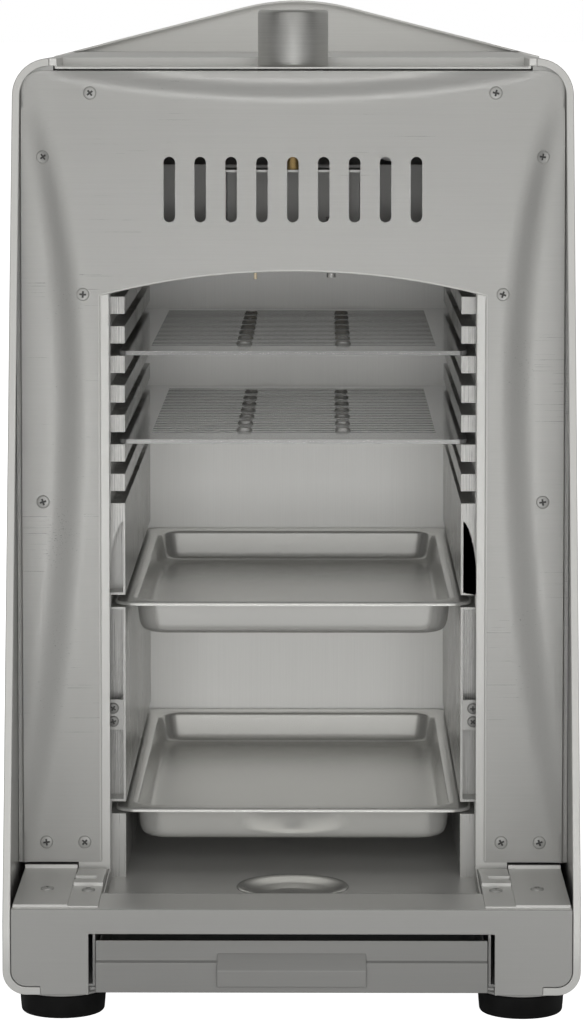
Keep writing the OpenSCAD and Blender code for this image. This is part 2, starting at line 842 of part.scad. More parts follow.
module control_knob() {
    r = knob_d / 2;
    color(bright_steel) translate([0, knob_y, 0]) difference() {
        rotate_extrude($fn = 96) {
            translate([0, knob_bottom]) square([r, knob_z - knob_bottom - 2]);
            translate([0, knob_z - 2]) square([r - 2, 2]);
            translate([r - 2, knob_z - 2]) circle(2, $fn = 32);
        }
        translate([0, 0, knob_bottom - 1]) cylinder(h = 15, r = stem_r);
        translate([-0.6, -r - 1, knob_z - 1]) cube([1.2, r * 0.7, 3]);
    }
}

// ---------- grates and pans ----------

module grate(z) {
    l = insert_l;
    field_w = grate_w - 24;
    rows = floor((l - 62) / slot_step);
    bridge = 7;
    color(bright_steel) translate([0, insert_y, z + runner_gap]) difference() {
        translate([0, l / 2, 0]) linear_extrude(rim_h) rounded(grate_w, l, 5);
        translate([0, l / 2, -0.8]) linear_extrude(1.8) rounded(grate_w - 2 * sheet, l - 2 * sheet, 4);
        for (i = [0 : rows]) translate([0, 38 + i * slot_step, 0]) {
            if (i % 4 == 1)
                for (k = [-1 : 1]) translate([k * field_w / 3, 0, 1])
                    cube([field_w / 3 - bridge, slot_w, 6], center = true);
            else
                translate([0, 0, 1]) cube([field_w - bridge, slot_w, 6], center = true);
        }
    }
}

module upper_grate() grate(grate_levels[0]);

module lower_grate() grate(grate_levels[1]);

module pan(z) {
    l = insert_l;
    body_l = l - (pan_w - pan_body_w);
    color(bright_steel) translate([0, insert_y + l / 2, z + runner_gap]) difference() {
        union() {
            linear_extrude(rim_h) rounded(pan_w, l, 12);
            translate([0, 0, 1 - pan_h]) linear_extrude(pan_h) rounded(pan_body_w, body_l, 14);
        }
        translate([0, 0, 2 - pan_h]) linear_extrude(pan_h + 3) rounded(pan_body_w - 2, body_l - 2, 13);
        translate([0, 0, -1]) linear_extrude(rim_h) difference() {
            rounded(pan_w - 2, l - 2, 11);
            rounded(pan_body_w, body_l, 14);
        }
    }
}

module upper_pan() pan(upper_pan_z);

module lower_pan() pan(lower_pan_z);

// ---------- the assembly ----------

left_side_panel();
right_side_panel();
top_cover();
rear_panel();
fascia();
fascia_frame();
left_front_post();
right_front_post();
base_front();
porch_plate();
base_pan();
left_foot_bracket();
right_foot_bracket();
cavity_floor();
floor_lips();
floor_funnel();
left_rack();
right_rack();
back_liner();
heat_shield();
burner_box();
plaque_frame();
ceramic_plaques();
burner_screen();
mixer_tube();
gas_injector();
injector_pipe();
gas_valve();
valve_bracket();
gas_pipe();
gas_inlet_fitting();
igniter_electrode();
thermocouple();
spring_collar();
valve_spring();
valve_stem();
control_knob();
upper_grate();
lower_grate();
upper_pan();
lower_pan();
left_drawer_rail();
right_drawer_rail();
drawer_pan();
drawer_front();
drawer_handle();
rubber_feet();
foot_cups();
foot_screws();
foot_nuts();
fascia_screws();
bracket_screws();
rack_brackets();
rack_screws();
rear_screws();
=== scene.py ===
"""Looks of the tabletop overhead broiler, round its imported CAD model. Metres, +Z up, front towards -Y."""

import math

import bmesh
import bpy
from mathutils import Matrix, Vector


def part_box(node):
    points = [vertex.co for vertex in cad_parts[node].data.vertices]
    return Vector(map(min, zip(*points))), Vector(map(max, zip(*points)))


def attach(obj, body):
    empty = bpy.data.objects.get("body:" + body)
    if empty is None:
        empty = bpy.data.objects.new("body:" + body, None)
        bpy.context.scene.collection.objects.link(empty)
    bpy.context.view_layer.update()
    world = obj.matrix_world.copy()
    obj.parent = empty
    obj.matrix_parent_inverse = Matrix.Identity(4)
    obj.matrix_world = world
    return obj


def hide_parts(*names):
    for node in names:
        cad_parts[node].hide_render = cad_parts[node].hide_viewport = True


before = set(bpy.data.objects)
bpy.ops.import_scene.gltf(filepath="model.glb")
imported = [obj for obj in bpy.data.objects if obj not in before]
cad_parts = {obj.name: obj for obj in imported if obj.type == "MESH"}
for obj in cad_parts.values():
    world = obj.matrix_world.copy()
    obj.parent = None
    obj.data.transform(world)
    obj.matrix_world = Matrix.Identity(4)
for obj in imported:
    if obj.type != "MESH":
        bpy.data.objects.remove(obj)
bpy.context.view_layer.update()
MM = 0.001
SHEET = 1.2 * MM  # gauge of the fascia
WELD = 2e-6  # corners closer than this are one corner
ROOM = 0.62  # strength of the room's own light


# ---------- materials ----------

def new_material(name):
    """An empty node material, its node tree and its Principled shader."""
    material = bpy.data.materials.new(name)
    material.use_nodes = True
    tree = material.node_tree
    return material, tree, tree.nodes["Principled BSDF"]


def node(tree, kind, **inputs):
    """A shader node with values set on its sockets by name."""
    made = tree.nodes.new(kind)
    for key, value in inputs.items():
        made.inputs[key.replace("_", " ")].default_value = value
    return made


def stretched(tree, scale):
    """Object coordinates, in metres, stretched by scale along each axis."""
    coords = tree.nodes.new("ShaderNodeTexCoord")
    mapping = tree.nodes.new("ShaderNodeMapping")
    mapping.inputs["Scale"].default_value = scale
    tree.links.new(coords.outputs["Object"], mapping.inputs["Vector"])
    return mapping.outputs["Vector"]


def noise_of(tree, vector, scale, detail=3.0, rough=0.6):
    made = node(tree, "ShaderNodeTexNoise", Scale=scale, Detail=detail, Roughness=rough)
    tree.links.new(vector, made.inputs["Vector"])
    return made.outputs["Fac"]


def ranged(tree, value, low, high, start=0.3, end=0.7):
    """Maps value from start..end to low..high."""
    made = node(tree, "ShaderNodeMapRange")
    made.inputs["From Min"].default_value = start
    made.inputs["From Max"].default_value = end
    made.inputs["To Min"].default_value = low
    made.inputs["To Max"].default_value = high
    tree.links.new(value, made.inputs["Value"])
    return made.outputs["Result"]


def ramp(tree, value, dark, light):
    """A colour between dark and light."""
    made = tree.nodes.new("ShaderNodeValToRGB")
    made.color_ramp.elements[0].position = 0.3
    made.color_ramp.elements[1].position = 0.7
    made.color_ramp.elements[0].color = (*dark, 1)
    made.color_ramp.elements[1].color = (*light, 1)
    tree.links.new(value, made.inputs["Fac"])
    return made.outputs["Color"]


def bump(tree, shader, height, strength, distance):
    made = node(tree, "ShaderNodeBump", Strength=strength, Distance=distance)
    tree.links.new(height, made.inputs["Height"])
    tree.links.new(made.outputs["Normal"], shader.inputs["Normal"])


# noise that is coarse along the brushing and fine across it
GRAIN = {"x": (14, 2400, 2400), "y": (2400, 14, 2400), "z": (2400, 2400, 14)}


def brushed(name, tone, rough, grain="x", tint=(1.0, 0.995, 0.965), metal=0.8, smudge=0.05, spread=0.07,
            depth=0.12):
    """Brushed sheet steel: fine streaks along one axis and soft cloudy variation."""
    material, tree, shader = new_material(name)
    streaks = noise_of(tree, stretched(tree, GRAIN[grain]), 1.0, 4.0, 0.65)
    clouds = noise_of(tree, stretched(tree, (1, 1, 1)), 9.0, 3.0)
    streak_share, cloud_share = 0.55, 0.45
    mixed = tree.nodes.new("ShaderNodeMath")
    mixed.operation = "MULTIPLY_ADD"
    mixed.inputs[1].default_value = streak_share
    tree.links.new(streaks, mixed.inputs[0])
    softer = tree.nodes.new("ShaderNodeMath")
    softer.operation = "MULTIPLY"
    softer.inputs[1].default_value = cloud_share
    tree.links.new(clouds, softer.inputs[0])
    tree.links.new(softer.outputs[0], mixed.inputs[2])
    grain_map = mixed.outputs[0]
    dark = [tone * (1 - smudge) * c for c in tint]
    light = [min(1.0, tone * (1 + smudge)) * c for c in tint]
    tree.links.new(ramp(tree, grain_map, dark, light), shader.inputs["Base Color"])
    tree.links.new(ranged(tree, grain_map, rough - spread, rough + spread), shader.inputs["Roughness"])
    shader.inputs["Metallic"].default_value = metal
    bump(tree, shader, streaks, depth, 0.00008)
    return material


def sheet_with_shaded_edges(name, tone, rough, metal):
    """Bright rolled sheet. Its upright faces, the punched and cut edges, get a darker colour than its flat
    faces: painted shade.
    """
    material, tree, shader = new_material(name)
    streaks = noise_of(tree, stretched(tree, GRAIN["x"]), 1.0, 4.0, 0.65)
    geometry = tree.nodes.new("ShaderNodeNewGeometry")
    parts = tree.nodes.new("ShaderNodeSeparateXYZ")
    tree.links.new(geometry.outputs["Normal"], parts.inputs["Vector"])
    upness = tree.nodes.new("ShaderNodeMath")
    upness.operation = "ABSOLUTE"
    tree.links.new(parts.outputs["Z"], upness.inputs[0])
    face = ramp(tree, streaks, (tone * 0.92,) * 3, (tone,) * 3)
    mix = tree.nodes.new("ShaderNodeMix")
    mix.data_type = "RGBA"
    colours = [socket for socket in mix.inputs if socket.type == "RGBA"]
    # half tone on upright faces: painted shade on the edges of the slots and the plate
    colours[0].default_value = (tone * 0.5, tone * 0.5, tone * 0.49, 1)
    tree.links.new(face, colours[1])
    tree.links.new(ranged(tree, upness.outputs[0], 0, 1, 0.2, 0.8), mix.inputs["Factor"])
    tree.links.new(next(s for s in mix.outputs if s.type == "RGBA"), shader.inputs["Base Color"])
    tree.links.new(ranged(tree, streaks, rough - 0.04, rough + 0.04), shader.inputs["Roughness"])
    shader.inputs["Metallic"].default_value = metal
    bump(tree, shader, streaks, 0.02, 0.00006)
    return material


def turned(name, tone, rough):
    """Machined steel with fine rings round an upright axis, as on a turned knob."""
    material, tree, shader = new_material(name)
    rings = noise_of(tree, stretched(tree, (30, 30, 5200)), 1.0, 3.0)
    dark = (tone * 0.9, tone * 0.9, tone * 0.875)
    light = (tone * 1.08, tone * 1.075, tone * 1.05)
    tree.links.new(ramp(tree, rings, dark, light), shader.inputs["Base Color"])
    tree.links.new(ranged(tree, rings, rough - 0.05, rough + 0.06), shader.inputs["Roughness"])
    shader.inputs["Metallic"].default_value = 1.0
    bump(tree, shader, rings, 0.15, 0.00005)
    return material


def rubber_material():
    """Black moulded rubber with a fine matt grain and a little dust."""
    material, tree, shader = new_material("rubber")
    grain = noise_of(tree, stretched(tree, (1, 1, 1)), 1600.0, 2.0)
    dust = noise_of(tree, stretched(tree, (1, 1, 1)), 60.0, 4.0)
    tree.links.new(ramp(tree, dust, (0.002,) * 3, (0.006,) * 3), shader.inputs["Base Color"])
    tree.links.new(ranged(tree, dust, 0.5, 0.72), shader.inputs["Roughness"])
    shader.inputs["Specular IOR Level"].default_value = 0.2
    bump(tree, shader, grain, 0.25, 0.0001)
    return material


def brass_material():
    material, tree, shader = new_material("brass")
    stain = noise_of(tree, stretched(tree, (1, 1, 1)), 120.0, 4.0)
    tree.links.new(ramp(tree, stain, (0.38, 0.25, 0.10), (0.62, 0.44, 0.20)), shader.inputs["Base Color"])
    tree.links.new(ranged(tree, stain, 0.25, 0.45), shader.inputs["Roughness"])
    shader.inputs["Metallic"].default_value = 1.0
    bump(tree, shader, stain, 0.08, 0.0001)
    return material


def ceramic_material():
    """Cordierite plaque: buff, with rows of fine flame holes whose dark centres are painted shade."""
    material, tree, shader = new_material("ceramic")
    holes = tree.nodes.new("ShaderNodeTexVoronoi")
    holes.inputs["Scale"].default_value = 420.0
    holes.inputs["Randomness"].default_value = 0.0
    tree.links.new(stretched(tree, (1, 1, 0)), holes.inputs["Vector"])
    distance = holes.outputs["Distance"]
    tint = tree.nodes.new("ShaderNodeValToRGB")
    tint.color_ramp.elements[0].position = 0.25
    tint.color_ramp.elements[1].position = 0.4
    # dark at the hole centres: painted shade inside the flame holes
    tint.color_ramp.elements[0].color = (0.12, 0.09, 0.06, 1)
    tint.color_ramp.elements[1].color = (0.70, 0.60, 0.44, 1)
    tree.links.new(distance, tint.inputs["Fac"])
    tree.links.new(tint.outputs["Color"], shader.inputs["Base Color"])
    shader.inputs["Roughness"].default_value = 0.85
    bump(tree, shader, distance, 0.4, 0.0004)
    return material


STEEL = brushed("brushed_steel", 0.46, 0.32, "x", metal=0.7)
STEEL_SIDE = brushed("brushed_steel_upright", 0.60, 0.30, "z", metal=0.6, smudge=0.02, spread=0.03,
                     depth=0.02)
STEEL_TOP = brushed("brushed_steel_top", 0.64, 0.40, "x", metal=0.5)
# lighter copy of the steel for the rear panel's gable: painted light, where it stands back and gets less
# light
STEEL_REAR_PAINTED_LIGHT = brushed("brushed_steel_rear_painted_light", 0.78, 0.42, "x", metal=0.45)
# darker copy of the steel for the base front: painted shade
STEEL_LOW_PAINTED_SHADE = brushed("brushed_steel_low_painted_shade", 0.33, 0.42, "x", metal=0.45)
# darker copy still for the drip drawer: painted shade of the recess it sits in
STEEL_DRAWER_PAINTED_SHADE = brushed("brushed_steel_drawer_painted_shade", 0.25, 0.42, "x", metal=0.45)
# near-white, hardly metallic copy of the steel for the back liner: painted light in the shaded cavity
INNER = brushed("inner_steel", 0.86, 0.45, "z", metal=0.1)
RACK = brushed("rack_steel", 0.48, 0.28, "z", metal=0.6, depth=0.04)
INNER_FLAT = brushed("inner_steel_flat", 0.62, 0.40, "x", metal=0.5)
GRATE = sheet_with_shaded_edges("grate_steel", 0.95, 0.12, 0.8)
PAN = brushed("pan_steel", 0.84, 0.24, "y", metal=0.8, smudge=0.03, spread=0.03, depth=0.02)
# near black: painted shade on the floors of the screws' cross recesses
SHADE = brushed("painted_shade_recess_floor", 0.06, 0.6, "z", metal=0.3)
DARK = brushed("dark_steel", 0.42, 0.5, "y", metal=0.35)
SCREW = brushed("screw_steel", 0.30, 0.40, "x", metal=0.6)
BRIGHT = brushed("bright_steel", 0.62, 0.25, "x", smudge=0.08)
KNOB = turned("turned_steel", 0.66, 0.40)
RUBBER = rubber_material()
BRASS = brass_material()
CERAMIC = ceramic_material()


# ---------- mesh helpers ----------

def smoothed(mesh, angle):
    """Smooth shading that breaks at edges sharper than an angle in degrees."""
    mesh.shade_smooth()
    mesh.set_sharp_from_angle(angle=math.radians(angle))
    return mesh


def piece(name, mesh, material, body, replaced=(), smooth_angle=35):
    """Links a mesh as a visible piece that rides on a body and stands for some CAD nodes."""
    obj = bpy.data.objects.new(name, mesh)
    bpy.context.scene.collection.objects.link(obj)
    mesh.materials.clear()
    mesh.materials.append(material)
    if smooth_angle:
        smoothed(mesh, smooth_angle)
    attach(obj, body)
    if replaced:
        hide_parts(*replaced)
    return obj


def from_bmesh(name, bm):
    mesh = bpy.data.meshes.new(name)
    bmesh.ops.recalc_face_normals(bm, faces=bm.faces)
    bm.to_mesh(mesh)
    bm.free()
    return mesh


def applied(name, mesh, *modifiers):
    """The mesh after a list of (type, settings) modifiers."""
    obj = bpy.data.objects.new(name, mesh)
    bpy.context.scene.collection.objects.link(obj)
    for kind, settings in modifiers:
        modifier = obj.modifiers.new(kind, kind)
        for key, value in settings.items():
            setattr(modifier, key, value)
    depsgraph = bpy.context.evaluated_depsgraph_get()
    result = bpy.data.meshes.new_from_object(obj.evaluated_get(depsgraph))
    bpy.data.objects.remove(obj)
    return result


def welded(node_name):
    """A bmesh of a CAD node with its split corners welded and its flat faces joined up."""
    bm = bmesh.new()
    bm.from_mesh(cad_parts[node_name].data)
    bmesh.ops.remove_doubles(bm, verts=bm.verts, dist=WELD)
    bmesh.ops.dissolve_limit(bm, angle_limit=math.radians(0.5), verts=bm.verts, edges=bm.edges)
    return bm


def softened(node_name, material, body, width=0.4 * MM, segments=2, corner=30):
    """The CAD node's own shape with its sharp edges rounded, as folded and deburred sheet has."""
    mesh = from_bmesh(node_name + "_mesh", welded(node_name))
    rounding = {"width": width, "segments": segments, "limit_method": "ANGLE",
                "angle_limit": math.radians(corner), "use_clamp_overlap": True, "harden_normals": False,
                "miter_outer": "MITER_ARC"}
    mesh = smoothed(applied(node_name, mesh, ("BEVEL", rounding)), 50)
    mesh = applied(node_name, mesh, ("WEIGHTED_NORMAL", {"weight": 80, "keep_sharp": True}))
    return piece(node_name + "_soft", mesh, material, body, [node_name], None)


def lathe(name, profile, centre=(0, 0), steps=96, closed=False):
    """A mesh from a profile of (radius, height) turned round an upright axis."""
    bm = bmesh.new()
    rings = []
    for radius, height in profile:
        if radius < 1e-7:
            rings.append([bm.verts.new((centre[0], centre[1], height))])
            continue
        angles = [2 * math.pi * i / steps for i in range(steps)]
        rings.append([bm.verts.new((centre[0] + radius * math.cos(a), centre[1] + radius * math.sin(a),
                                    height)) for a in angles])
    pairs = list(zip(rings, rings[1:]))
    if closed:
        pairs.append((rings[-1], rings[0]))
    for low, high in pairs:
        for i in range(steps):
            k = (i + 1) % steps
            corners = [low[i % len(low)], low[k % len(low)], high[k % len(high)], high[i % len(high)]]
            unique = list(dict.fromkeys(corners))
            if len(unique) > 2:
                bm.faces.new(unique)
    return from_bmesh(name, bm)


def arc(centre, radius, start, end, steps):
    """Points of an arc in a profile, in degrees."""
    angles = (math.radians(start + (end - start) * i / steps) for i in range(steps + 1))
    return [(centre[0] + radius * math.cos(a), centre[1] + radius * math.sin(a)) for a in angles]


def joined(name, meshes):
    """One mesh from several."""
    bm = bmesh.new()
    for mesh in meshes:
        bm.from_mesh(mesh)
    made = bpy.data.meshes.new(name)
    bm.to_mesh(made)
    bm.free()
    return made


def moved(mesh, matrix):
    made = mesh.copy()
    made.transform(matrix)
    return made


def prism(name, outline, low, high):
    """A closed solid from an outline of (x, z) points, between two depths in Y."""
    bm = bmesh.new()
    front = [bm.verts.new((x, low, z)) for x, z in outline]
    back = [bm.verts.new((x, high, z)) for x, z in outline]
    bm.faces.new(front)
    bm.faces.new(back[::-1])
    for i in range(len(outline)):
        k = (i + 1) % len(outline)
        bm.faces.new((front[i], back[i], back[k], front[k]))
    return from_bmesh(name, bm)


def carved(name, mesh, cutters):
    """The mesh with the cutters' solids taken out of it."""
    target = bpy.data.objects.new(name, mesh)
    tool = bpy.data.objects.new(name + "_cutter", joined(name + "_cutters", cutters))
    for obj in (target, tool):
        bpy.context.scene.collection.objects.link(obj)
    modifier = target.modifiers.new("carve", "BOOLEAN")
    modifier.operation = "DIFFERENCE"
    modifier.solver = "EXACT"
    modifier.object = tool
    depsgraph = bpy.context.evaluated_depsgraph_get()
    result = bpy.data.meshes.new_from_object(target.evaluated_get(depsgraph))
    for obj in (target, tool):
        bpy.data.objects.remove(obj)
    return result


def solid_centres(node_name):
    """The middle of each separate solid of a node."""
    bm = bmesh.new()
    bm.from_mesh(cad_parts[node_name].data)
    bmesh.ops.remove_doubles(bm, verts=bm.verts, dist=WELD)
    left, centres = set(bm.verts), []
    while left:
        stack, island = [left.pop()], []
        while stack:
            vert = stack.pop()
            island.append(vert.co.copy())
            for edge in vert.link_edges:
                other = edge.other_vert(vert)
                if other in left:
                    left.remove(other)
                    stack.append(other)
        low = Vector(min(c[i] for c in island) for i in range(3))
        high = Vector(max(c[i] for c in island) for i in range(3))
        centres.append((low + high) / 2)
    bm.free()
    return sorted(centres, key=lambda c: (round(c.x, 4), round(c.y, 4), round(c.z, 4)))


# ---------- places taken from the frame ----------

fascia_low, fascia_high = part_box("fascia")
front_y = fascia_low.y
half_fascia = fascia_high.x
opening_half = 100.3 * MM
arch_top = 370.6 * MM
arch_radius = 403 * MM
arch_centre = arch_top - arch_radius
vent_middle = 413 * MM
vent_length = 34 * MM
vent_width = 6 * MM
vent_step = 16 * MM
vent_count = 9
fascia_corner = 14.5 * MM


# ---------- fascia ----------

def eased(value):
    """A smooth step from 0 to 1."""
    t = min(1.0, max(0.0, value))
    return t * t * t * (t * (6 * t - 15) + 10)


def relief(x, z):
    """How far the pressed fascia stands forward of its flat middle."""
    waist = 310 * MM
    curl = 0.42 if z < waist else 0.9
    side_line, side_turn = 116 * MM + curl * (z - waist) ** 2, 22 * MM
    top_line, top_turn = fascia_high.z - 10 * MM + 0.75 * x * x, 13 * MM
    side = eased((abs(x) - side_line) / side_turn + 0.5)
    top = eased((z - top_line) / top_turn + 0.5)
    deepest, taper = 6.0 * MM, 2.4 * MM
    depth = deepest - taper * eased((z - 0.40) / 0.07) - taper * eased((0.20 - z) / 0.14)
    # lower still in the two upper corners, and flat where the side panels' rim stands in front
    corner = 2.0 * MM * eased((abs(x) - 0.116) / 0.02) * eased((z - 0.44) / 0.03)
    edge = eased((half_fascia - abs(x) - 2.0 * MM) / (1.0 * MM))
    return (depth - corner) * (1 - (1 - side) * (1 - top)) * edge


def arch_curve(margin=0.0):
    """Points along the opening's arch from left to right, moved outwards by margin."""
    half = opening_half + margin
    radius = arch_radius + margin
    steps = 48
    across = (-half + 2 * half * i / steps for i in range(steps + 1))
    return [(x, arch_centre + math.sqrt(radius * radius - x * x)) for x in across]


def pressed_fascia():
    """The fascia as one pressed sheet: a fine grid with relief, then the opening, vents and corners."""
    step = 3.0 * MM
    near_edge = [0.0, 1.5 * MM, 2.0 * MM, 2.25 * MM, 2.5 * MM, 2.75 * MM]
    inner = half_fascia - step
    spans = 94
    middle = [inner - 2 * inner * c / spans for c in range(spans, -1, -1)]
    across = [-half_fascia + d for d in near_edge] + middle + [half_fascia - d for d in near_edge[::-1]]
    columns = len(across) - 1
    rows = round((fascia_high.z - fascia_low.z) / step)
    bm = bmesh.new()
    layers = []
    for offset in (0.0, SHEET):
        layer = []
        for r in range(rows + 1):
            z = fascia_low.z + (fascia_high.z - fascia_low.z) * r / rows
            line = []
            for x in across:
                line.append(bm.verts.new((x, front_y + offset - relief(x, z), z)))
            layer.append(line)
        layers.append(layer)
    for layer in layers:
        for r in range(rows):
            for c in range(columns):
                bm.faces.new((layer[r][c], layer[r][c + 1], layer[r + 1][c + 1], layer[r + 1][c]))

    def border(layer):
        bottom, top = layer[0], layer[-1]
        right = [line[-1] for line in layer][1:]
        left = [line[0] for line in layer][1:-1]
        return bottom + right + top[-2::-1] + left[::-1]

    near, far = border(layers[0]), border(layers[1])
    for i in range(len(near)):
        k = (i + 1) % len(near)
        bm.faces.new((near[i], near[k], far[k], far[i]))
    mesh = from_bmesh("fascia_sheet", bm)
    reach, below = 30 * MM, fascia_low.z - 20 * MM
    deep = (front_y - reach, front_y + reach)
    cutters = [prism("opening", arch_curve() + [(opening_half, below), (-opening_half, below)], *deep)]
    end = vent_length / 2 - vent_width / 2
    for i in range(vent_count):
        x = (i - (vent_count - 1) / 2) * vent_step
        slot_shape = (arc((x, vent_middle + end), vent_width / 2, 0, 180, 12)
                      + arc((x, vent_middle - end), vent_width / 2, 180, 360, 12))
        cutters.append(prism("vent", slot_shape, *deep))
    for side in (-1, 1):
        corner = (side * (half_fascia - fascia_corner), fascia_high.z - fascia_corner)
        sweep = arc(corner, fascia_corner, 90, 0 if side > 0 else 180, 12)
        far_x, far_z = side * (half_fascia + fascia_corner), fascia_high.z + fascia_corner
        outside = [(far_x, corner[1]), (far_x, far_z), (corner[0], far_z)]
        cutters.append(prism("corner", sweep + outside, *deep))
    return carved("fascia", mesh, cutters)


def hem(name, points, radius, material, body):
    """A fine rolled edge that follows a line of points."""
    curve = bpy.data.curves.new(name, "CURVE")
    curve.dimensions = "3D"
    curve.bevel_depth = radius
    curve.bevel_resolution = 3
    curve.use_fill_caps = True
    spline = curve.splines.new("POLY")
    spline.points.add(len(points) - 1)
    for target, point in zip(spline.points, points):
        target.co = (*point, 1)
    obj = bpy.data.objects.new(name + "_curve", curve)
    bpy.context.scene.collection.objects.link(obj)
    mesh = bpy.data.meshes.new_from_object(obj.evaluated_get(bpy.context.evaluated_depsgraph_get()))
    bpy.data.objects.remove(obj)
    return piece(name, mesh, material, body, (), 60)


def make_fascia():
    piece("fascia_pressed", pressed_fascia(), STEEL, "cabinet", ["fascia"], 50)
    margin = 0.4 * MM
    side = opening_half + margin
    curve = arch_curve(margin)
    low = fascia_low.z + 0.6 * MM
    steps = 60
    rise = [low + (curve[-1][1] - low) * i / steps for i in range(steps)]
    path = [(-side, z) for z in rise] + curve + [(side, z) for z in reversed(rise)]
    points = [(x, front_y + SHEET / 2 - relief(x, z), z) for x, z in path]
    hem("fascia_hem", points, 0.75 * MM, STEEL_SIDE, "cabinet")


# ---------- screws ----------

def screw_head(radius, height):
    """A low domed head with a cross recess, and a plate in the recess's floor that carries its painted
    shade. It stands up from the origin.
    """
    crown = radius * 0.7
    shoulder = height * 0.85
    steps = 6
    profile = [(0, height), (crown * 0.6, height * 0.96), (crown, shoulder)]
    for i in range(1, steps + 1):
        a = math.pi / 2 * i / steps
        profile.append((crown + (radius - crown) * math.sin(a), shoulder * (0.25 + 0.75 * math.cos(a))))
    profile += [(radius, 0), (0, 0)]
    arm, half = radius * 0.52, radius * 0.15
    plus = [(arm, half), (half, half), (half, arm), (-half, arm), (-half, half), (-arm, half),
            (-arm, -half), (-half, -half), (-half, -arm), (half, -arm), (half, -half), (arm, -half)]
    upright = Matrix.Rotation(math.pi / 2, 4, "X")
    cross = moved(prism("cross", plus, height * 0.2, height * 2), upright)
    # the plate at the bottom of the recess, drawn near black as painted shade
    floor = moved(prism("recess", plus, height * 0.2, height * 0.45), upright)
    return carved("head", lathe("head", profile, steps=40), [cross]), floor


def make_screws(node_name, radius, height, material, seat):
    """One head at each solid of a screw node. seat(centre) gives the point under it and its direction."""
    head, floor = screw_head(radius, height)
    heads, recess_shades = [], []
    for i, centre in enumerate(solid_centres(node_name)):
        point, facing = seat(centre)
        turn = Vector((0, 0, 1)).rotation_difference(Vector(facing)).to_matrix().to_4x4()
        twist = Matrix.Rotation(0.7 * i + 0.3, 4, "Z")
        place = Matrix.Translation(point) @ turn @ twist
        heads.append(moved(head, place))
        recess_shades.append(moved(floor, place))
    piece(node_name + "_heads", joined(node_name, heads), material, "cabinet", [node_name],
          40)
    # the recess floors in near black: painted shade
    piece(node_name + "_recess_painted_shade", joined(node_name, recess_shades), SHADE, "cabinet", (), 0)


def fascia_seat(centre):
    """The pressed fascia's surface in front of a point, and its normal there."""
    x, z = centre.x, centre.z
    here, step = relief(x, z), 1.0 * MM
    slope_x, slope_z = (relief(x + step, z) - here) / step, (relief(x, z + step) - here) / step
    return (x, front_y - here, z), (-slope_x, -1, -slope_z)


def make_all_screws():
    bracket_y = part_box("rack_brackets")[0].y
    rear_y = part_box("rear_panel")[1].y
    head_lift = 0.25 * MM
    make_screws("fascia_screws", 3.4 * MM, 1.1 * MM, STEEL, fascia_seat)
    make_screws("rack_screws", 2.9 * MM, 1.8 * MM, SCREW, lambda c: ((c.x, bracket_y, c.z), (0, -1, 0)))
    make_screws("rear_screws", 3.4 * MM, 1.5 * MM, SCREW, lambda c: ((c.x, rear_y, c.z), (0, 1, 0)))
    make_screws("bracket_screws", 3.4 * MM, 1.3 * MM, STEEL,
                lambda c: ((c.x, c.y, c.z + head_lift), (0, 0, 1)))


# ---------- knob, feet, funnel ----------

def make_knob():
    low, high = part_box("control_knob")
    centre = ((low.x + high.x) / 2, (low.y + high.y) / 2)
    radius = (high.x - low.x) / 2
    edge = 2.0 * MM
    profile = [(0, high.z - 0.9 * MM), (radius * 0.55, high.z - 0.85 * MM),
               (radius * 0.72, high.z - 0.6 * MM), (radius - 1.6 * edge, high.z - 0.05 * MM)]
    profile += arc((radius - edge, high.z - edge), edge, 85, 0, 8)
    profile += [(radius, low.z + 1.2 * MM), (radius - 0.5 * MM, low.z + 0.3 * MM),
                (radius - 1.2 * MM, low.z), (0, low.z)]
    body = lathe("knob", profile, centre, 128)
    length = radius * 0.62
    groove = bmesh.new()
    bmesh.ops.create_cube(groove, size=1)
    bmesh.ops.scale(groove, vec=(1.2 * MM, length, 1.6 * MM), verts=groove.verts)
    bmesh.ops.translate(groove, vec=(centre[0], centre[1] - length, high.z), verts=groove.verts)
    mesh = carved("knob", body, [from_bmesh("groove", groove)])
    piece("knob_turned", mesh, KNOB, "gas_control", ["control_knob"], 40)


def make_feet():
    low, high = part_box("rubber_feet")
    tall = high.z - low.z
    radius = 21.8 * MM
    bore, well, seat = 2.7 * MM, 6.5 * MM, 5 * MM
    profile = [(well, 1.0 * MM), (7.0 * MM, 0.1 * MM), (12 * MM, 0.0), (radius - 3.4 * MM, 0.0)]
    profile += arc((radius - 2.6 * MM, 1.9 * MM), 1.9 * MM, -90, -8, 6)
    profile += [(radius - 0.3 * MM, tall * 0.55), (radius - 0.05 * MM, tall - 1.2 * MM)]
    profile += arc((radius - 0.9 * MM, tall - 0.9 * MM), 0.85 * MM, 0, 90, 4)
    profile += [(bore, tall), (bore, seat), (well, seat)]
    feet = [lathe("foot", profile, (c.x, c.y), 72, True) for c in solid_centres("rubber_feet")]
    piece("feet_moulded", joined("feet", feet), RUBBER, "cabinet", ["rubber_feet"], 40)


